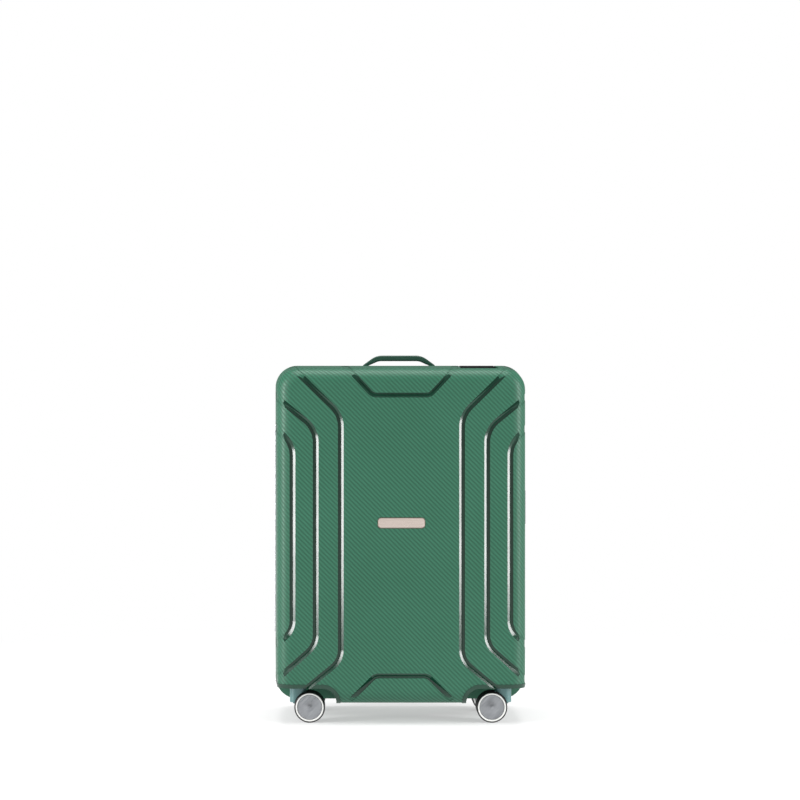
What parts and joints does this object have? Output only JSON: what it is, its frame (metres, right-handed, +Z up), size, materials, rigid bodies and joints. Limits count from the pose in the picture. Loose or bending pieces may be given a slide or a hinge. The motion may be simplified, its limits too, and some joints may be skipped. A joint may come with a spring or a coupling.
{
  "type": "hard shell suitcase on wheels",
  "caption": "Tall hard shell suitcase with hinged lid, raised panels, carry handles, telescopic pull handle, latches, dial lock and twin-wheel swivel casters.",
  "frame": {"origin": "on the floor under the middle of the case, which stands on its wheels", "axes": "+Z up, -Y the front (the lid), +X to the right seen from the front; the seam between the halves is the plane y = 0"},
  "size_m": [0.4599, 0.27, 0.6635],
  "materials": {
    "shell_green": "moulded polypropylene with a fine twill emboss, satin",
    "trim_green": "darker moulded plastic, satin",
    "seal_rubber": "soft black rubber",
    "lining_cloth": "woven polyester, matt",
    "pocket_net": "knitted net",
    "strap_webbing": "woven webbing",
    "black_plastic": "moulded, fine grain",
    "steel": "plated",
    "tube_aluminium": "anodised, satin",
    "badge_metal": "warm silver, brushed",
    "fork_teal": "teal grey moulded plastic",
    "tyre_black": "black polyurethane",
    "wheel_rim_white": "white moulded rim",
    "wheel_disc_silver": "brushed disc"
  },
  "bodies": {
    "root": {"rear_shell": "shell_green", "rear_rim": "trim_green", "rear_lining": "lining_cloth", "compression_strap_left": "strap_webbing", "compression_strap_right": "strap_webbing", "strap_buckle": "black_plastic", "hinge_rear_leaf": "steel", "hinge_pin": "steel", "latch_base_top": "black_plastic", "latch_base_side": "black_plastic", "latch_base_bottom": "black_plastic", "lock_body": "black_plastic", "trolley_cup": "black_plastic", "trolley_outer_tube_left": "tube_aluminium", "trolley_outer_tube_right": "tube_aluminium", "top_handle_bracket_left": "trim_green", "top_handle_bracket_right": "trim_green", "side_handle_cup": "trim_green", "caster_mount_rear_left": "black_plastic", "caster_mount_rear_right": "black_plastic"},
    "lid": {"front_shell": "shell_green", "front_rim": "trim_green", "seal_strip": "seal_rubber", "front_lining": "lining_cloth", "mesh_pocket": "pocket_net", "hinge_front_leaf": "steel", "badge_plate": "badge_metal", "caster_mount_front_left": "black_plastic", "caster_mount_front_right": "black_plastic"},
    "latch_top": {"latch_lever_top": "black_plastic"},
    "latch_side": {"latch_lever_side": "black_plastic"},
    "latch_bottom": {"latch_lever_bottom": "black_plastic"},
    "dial_1": {"lock_dial_1": "steel"},
    "dial_2": {"lock_dial_2": "steel"},
    "dial_3": {"lock_dial_3": "steel"},
    "slider": {"lock_slider": "steel"},
    "trolley_stage_1": {"trolley_middle_tube_left": "tube_aluminium", "trolley_middle_tube_right": "tube_aluminium"},
    "trolley_stage_2": {"trolley_inner_tube_left": "tube_aluminium", "trolley_inner_tube_right": "tube_aluminium", "trolley_grip": "black_plastic"},
    "button": {"trolley_button": "trim_green"},
    "carry_handle": {"top_handle": "trim_green"},
    "side_grip": {"side_handle": "trim_green"},
    "caster_front_left": {"caster_fork_front_left": "fork_teal", "caster_axle_front_left": "steel"},
    "wheel_front_left_a": {"wheel_front_left_a": "tyre_black"},
    "wheel_front_left_b": {"wheel_front_left_b": "tyre_black"},
    "caster_front_right": {"caster_fork_front_right": "fork_teal", "caster_axle_front_right": "steel"},
    "wheel_front_right_a": {"wheel_front_right_a": "tyre_black"},
    "wheel_front_right_b": {"wheel_front_right_b": "tyre_black"},
    "caster_rear_left": {"caster_fork_rear_left": "fork_teal", "caster_axle_rear_left": "steel"},
    "wheel_rear_left_a": {"wheel_rear_left_a": "tyre_black"},
    "wheel_rear_left_b": {"wheel_rear_left_b": "tyre_black"},
    "caster_rear_right": {"caster_fork_rear_right": "fork_teal", "caster_axle_rear_right": "steel"},
    "wheel_rear_right_a": {"wheel_rear_right_a": "tyre_black"},
    "wheel_rear_right_b": {"wheel_rear_right_b": "tyre_black"}
  },
  "joints": [
    {"name": "lid_hinge", "type": "hinge", "parent": "root", "child": "lid", "pos_m": [-0.2283, 0, 0.345], "axis": [0, 0, -1], "range_deg": [0, 180]},
    {"name": "latch_top_turn", "type": "hinge", "parent": "root", "child": "latch_top", "pos_m": [0.141, 0.022, 0.6412], "axis": [-1, 0, 0], "range_deg": [0, 80]},
    {"name": "latch_side_turn", "type": "hinge", "parent": "root", "child": "latch_side", "pos_m": [0.2252, 0.022, 0.385], "axis": [0, 0, 1], "range_deg": [0, 80]},
    {"name": "latch_bottom_turn", "type": "hinge", "parent": "root", "child": "latch_bottom", "pos_m": [0.07398, 0.022, 0.0358], "axis": [1, 0, 0], "range_deg": [0, 80]},
    {"name": "dial_1_spin", "type": "hinge", "parent": "root", "child": "dial_1", "pos_m": [0.222, 0.0275, 0.274], "axis": [0, 0, 1], "continuous": true},
    {"name": "dial_2_spin", "type": "hinge", "parent": "root", "child": "dial_2", "pos_m": [0.222, 0.0275, 0.2825], "axis": [0, 0, 1], "continuous": true},
    {"name": "dial_3_spin", "type": "hinge", "parent": "root", "child": "dial_3", "pos_m": [0.222, 0.0275, 0.291], "axis": [0, 0, 1], "continuous": true},
    {"name": "slider_push", "type": "slide", "parent": "root", "child": "slider", "axis": [0, 0, 1], "range_m": [0, 0.004], "stiffness_N_per_m": 150},
    {"name": "trolley_lower", "type": "slide", "parent": "root", "child": "trolley_stage_1", "axis": [0, 0, 1], "range_m": [0, 0.25]},
    {"name": "trolley_upper", "type": "slide", "parent": "trolley_stage_1", "child": "trolley_stage_2", "axis": [0, 0, 1], "range_m": [0, 0.24]},
    {"name": "button_press", "type": "slide", "parent": "trolley_stage_2", "child": "button", "axis": [0, 0, -1], "range_m": [0, 0.003], "stiffness_N_per_m": 300},
    {"name": "carry_handle_lift", "type": "slide", "parent": "root", "child": "carry_handle", "axis": [0, 0, 1], "range_m": [0, 0.014]},
    {"name": "side_grip_pull", "type": "slide", "parent": "root", "child": "side_grip", "axis": [1, 0, 0], "range_m": [0, 0.01]},
    {"name": "swivel_front_left", "type": "hinge", "parent": "lid", "child": "caster_front_left", "pos_m": [-0.1815, -0.07552, 0.05], "axis": [0, 0, 1], "continuous": true},
    {"name": "spin_front_left_a", "type": "hinge", "parent": "caster_front_left", "child": "wheel_front_left_a", "pos_m": [-0.164, -0.07552, 0.028], "axis": [0, 1, 0], "continuous": true},
    {"name": "spin_front_left_b", "type": "hinge", "parent": "caster_front_left", "child": "wheel_front_left_b", "pos_m": [-0.164, -0.07552, 0.028], "axis": [0, 1, 0], "continuous": true},
    {"name": "swivel_front_right", "type": "hinge", "parent": "lid", "child": "caster_front_right", "pos_m": [0.1815, -0.07552, 0.05], "axis": [0, 0, 1], "continuous": true},
    {"name": "spin_front_right_a", "type": "hinge", "parent": "caster_front_right", "child": "wheel_front_right_a", "pos_m": [0.164, -0.07552, 0.028], "axis": [0, 1, 0], "continuous": true},
    {"name": "spin_front_right_b", "type": "hinge", "parent": "caster_front_right", "child": "wheel_front_right_b", "pos_m": [0.164, -0.07552, 0.028], "axis": [0, 1, 0], "continuous": true},
    {"name": "swivel_rear_left", "type": "hinge", "parent": "root", "child": "caster_rear_left", "pos_m": [-0.1815, 0.07552, 0.05], "axis": [0, 0, 1], "continuous": true},
    {"name": "spin_rear_left_a", "type": "hinge", "parent": "caster_rear_left", "child": "wheel_rear_left_a", "pos_m": [-0.164, 0.07552, 0.028], "axis": [0, 1, 0], "continuous": true},
    {"name": "spin_rear_left_b", "type": "hinge", "parent": "caster_rear_left", "child": "wheel_rear_left_b", "pos_m": [-0.164, 0.07552, 0.028], "axis": [0, 1, 0], "continuous": true},
    {"name": "swivel_rear_right", "type": "hinge", "parent": "root", "child": "caster_rear_right", "pos_m": [0.1815, 0.07552, 0.05], "axis": [0, 0, 1], "continuous": true},
    {"name": "spin_rear_right_a", "type": "hinge", "parent": "caster_rear_right", "child": "wheel_rear_right_a", "pos_m": [0.164, 0.07552, 0.028], "axis": [0, 1, 0], "continuous": true},
    {"name": "spin_rear_right_b", "type": "hinge", "parent": "caster_rear_right", "child": "wheel_rear_right_b", "pos_m": [0.164, 0.07552, 0.028], "axis": [0, 1, 0], "continuous": true}
  ]
}
